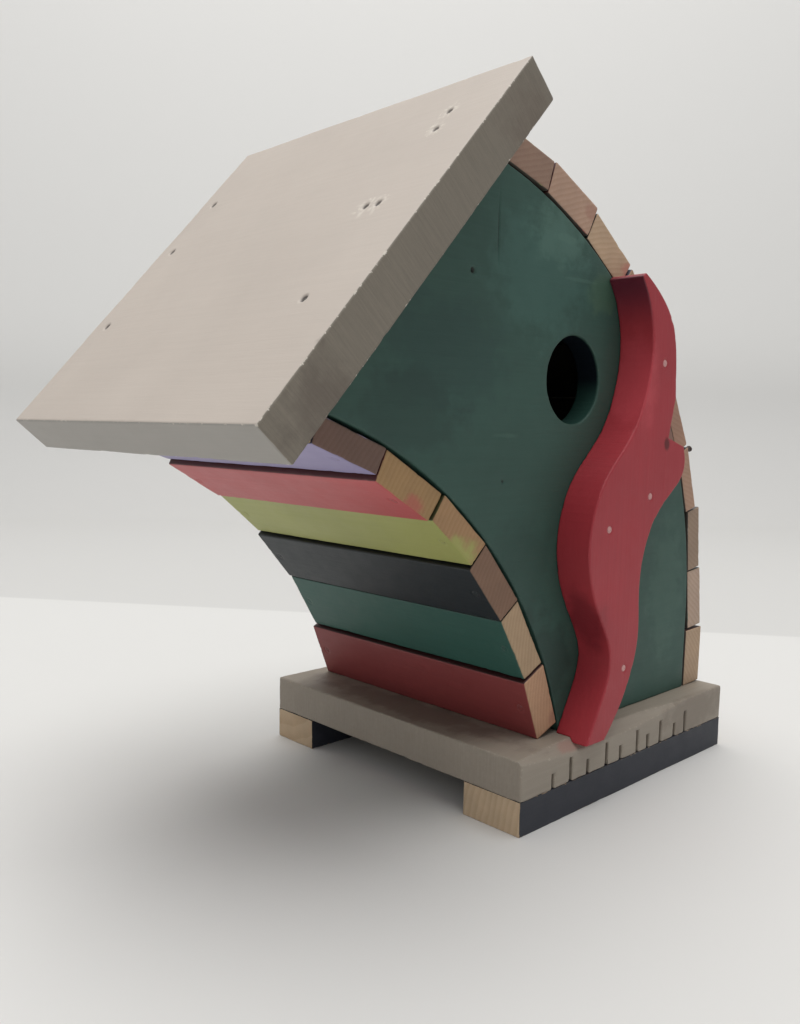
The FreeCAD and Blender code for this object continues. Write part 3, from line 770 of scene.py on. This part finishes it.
def trim():
    """The wavy board: painted shade darkens its sides near the top and its notch's inner corner."""
    blots = (
        # painted shade in the inner corner of the notch in the trim's right edge
        ((8.5, TRIM_FACE, 176), (3.2, 4, 4.2), NOTCH_SHADE_RED, 0.95),
        ((-10, -86, 204), (13, 16, 34), (200, 74, 84), 0.6),
        ((-41, -86, 92), (16, 12, 28), (96, 8, 26), 0.6),
    )
    paint = board_material("trim_paint", RED, worn=WORN_RED, wear=0.22, gloss=0.52, blots=blots,
                           ragged_blots=0.3, side_shade=(228, 252, TRIM_TOP_SHADE, 0.85), brush=0.06)
    piece = plank("serpentine_trim", Z, -Y, seed=47, dents=nail_dents("trim_nails"),
                  bare_ends=False, chips=0.3)
    dress(piece, paint)


def cover():
    """The board that swings over the clean-out hole."""
    paint = board_material("cover_paint", BASE_TAUPE, worn=BASE_WORN, wear=0.6)
    piece = plank("cleanout_cover", Z, Y, seed=48, bare_ends=False, bare_back=False, body="cover")
    dress(piece, paint)


def hardware():
    """Nails are rebuilt and painted over; screws and the washer keep their CAD meshes."""
    heads = nail_material()

    def coat_of(side, finishes):
        tests = []
        for number, (paint, _) in enumerate(finishes, start=1):
            tests.append((inside(f"{side}_slat_{number}", 0.5), paint))
        return lambda top: next((paint for test, paint in tests if test(top)), STEEL)

    # each group's coats, coated, sunk and head, as nails() takes them
    groups = {
        "left_slat_nails": (coat_of("left", LEFT_SLATS), 1.0, 0.4, 2.0),
        "right_slat_nails": (coat_of("right", RIGHT_SLATS), 1.0, 0.4, 2.0),
        "roof_nails": (lambda top: DARK_STEEL, 1.0, 0.9, 2.0),
        "trim_nails": (lambda top: PINK_HEAD, 1.0, 0.3, 1.7),
        "foot_nails": (lambda top: STEEL, 0.0, 0.0, 2.0),
        "proud_nail": (lambda top: RUSTED, 1.0, 0.0, 1.7),
    }
    for node, (coats, coated, sunk, head) in groups.items():
        dress(nails(node, coats, coated, sunk, head), heads)
    steel = metal_material("screw_steel", STEEL)
    for node in ("cover_screw", "cover_washer", "base_screws"):
        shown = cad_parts[node]
        eased = shown.modifiers.new("eased", "BEVEL")
        eased.width = METAL_EASE * MM
        eased.segments = 2
        eased.limit_method = "ANGLE"
        shown.data.materials.clear()
        shown.data.materials.append(steel)


# ---- stage, light and camera ------------------------------------------------------------

# The sweep, in metres: how far it comes forward, where its wall is, and how high and wide it is
SWEEP_FRONT = -3.0
SWEEP_BACK = 1.35
SWEEP_TOP = 4.0
SWEEP_SIDES = (-4.0, 4.0)
SWEEP_BEND = 0.25
SWEEP_TURN = math.radians(-43)
BEND_STEPS = 12
# The floor's paler near sheet ends along a line, and the wall pales with height, in mm
ACROSS_SHEETS = (0.801, 0.599, 0.0)
SHEET_END = (317, 325)
PALING = (0, 420)

SKY = (0.96, 0.98, 1.0, 1)
SKY_STRENGTH = 0.41
LAMP_PLACE = (-0.2, -0.1, 3.0)
LAMP_TARGET = (-0.05, 0, 0.15)
LAMP_SIZE = 2.7
LAMP_POWER = 78
LAMP_COLOUR = (1.0, 0.99, 0.97)

CAMERA_PLACE = (-0.4019, -0.3328, 0.1857)
CAMERA_TURNS = (-43.24, 7.71, 0.73)     # yaw, pitch and roll, in degrees
CAMERA_LENS = 32.02
CAMERA_SHIFT = (0.0097, 0.0313)


def stage():
    """A pale floor that curves up into a pale wall behind."""
    bm = bmesh.new()
    profile = [(SWEEP_FRONT, 0.0)]
    foot = SWEEP_BACK - SWEEP_BEND
    for k in range(BEND_STEPS + 1):
        angle = math.pi / 2 * k / BEND_STEPS
        profile.append((foot + SWEEP_BEND * math.sin(angle), SWEEP_BEND * (1 - math.cos(angle))))
    profile.append((SWEEP_BACK, SWEEP_TOP))
    turn = Matrix.Rotation(SWEEP_TURN, 3, "Z")
    rows = [[bm.verts.new(turn @ Vector((x, y, z))) for x in SWEEP_SIDES] for y, z in profile]
    for a, b in zip(rows, rows[1:]):
        bm.faces.new((a[0], a[1], b[1], b[0]))
    mesh = bpy.data.meshes.new("sweep")
    bm.to_mesh(mesh)
    bm.free()
    mesh.shade_smooth()
    floor = bpy.data.objects.new("sweep", mesh)
    bpy.context.scene.collection.objects.link(floor)
    s = Shader("pale_floor", 0.7)
    sheet_edge = s.vector("DOT_PRODUCT", s.place(), ACROSS_SHEETS, output="Value")
    height = s.vector("DOT_PRODUCT", s.place(), (0.0, 0.0, 1.0), output="Value")
    tone = s.blend(s.ramp(sheet_edge, *SHEET_END), linear(NEAR_FLOOR), linear(FAR_FLOOR))
    tone = s.blend(s.ramp(height, *PALING), tone, linear(BACKDROP))
    s.feed(s.surface.inputs["Base Color"], tone)
    mesh.materials.append(s.material)


def lights():
    """Even light from all round, and one wide lamp overhead."""
    world = bpy.data.worlds.new("studio")
    bpy.context.scene.world = world
    world.use_nodes = True
    background = world.node_tree.nodes["Background"]
    background.inputs["Color"].default_value = SKY
    background.inputs["Strength"].default_value = SKY_STRENGTH
    data = bpy.data.lights.new("overhead", "AREA")
    data.shape = "DISK"
    data.size = LAMP_SIZE
    data.energy = LAMP_POWER
    data.color = LAMP_COLOUR
    lamp = bpy.data.objects.new("overhead", data)
    lamp.location = LAMP_PLACE
    aim = Vector(LAMP_TARGET) - Vector(LAMP_PLACE)
    lamp.rotation_euler = aim.to_track_quat("-Z", "Y").to_euler()
    bpy.context.scene.collection.objects.link(lamp)


def camera():
    """Looks at the birdhouse from its front left corner, a little above it."""
    yaw, pitch, roll = (math.radians(v) for v in CAMERA_TURNS)
    level = math.cos(pitch)
    back = Vector((math.sin(yaw) * level, -math.cos(yaw) * level, math.sin(pitch)))
    level_right = (-back).cross(Z).normalized()
    level_up = level_right.cross(-back)
    right = level_right * math.cos(roll) + level_up * math.sin(roll)
    up = level_up * math.cos(roll) - level_right * math.sin(roll)
    data = bpy.data.cameras.new("camera")
    data.lens = CAMERA_LENS
    data.shift_x, data.shift_y = CAMERA_SHIFT
    data.clip_start = 0.01
    lens = bpy.data.objects.new("camera", data)
    turn = Matrix((right, up, back)).transposed().to_4x4()
    lens.matrix_world = Matrix.Translation(CAMERA_PLACE) @ turn
    bpy.context.scene.collection.objects.link(lens)
    bpy.context.scene.camera = lens


slats("left", LEFT_SLATS, Vector((-1, 0, -0.3)), 0)
slats("right", RIGHT_SLATS, Vector((1, 0, 0.3)), 20)
roof()
base_and_feet()
walls()
trim()
cover()
hardware()
stage()
lights()
camera()
bpy.context.scene.view_settings.view_transform = "Standard"
bpy.context.view_layer.update()
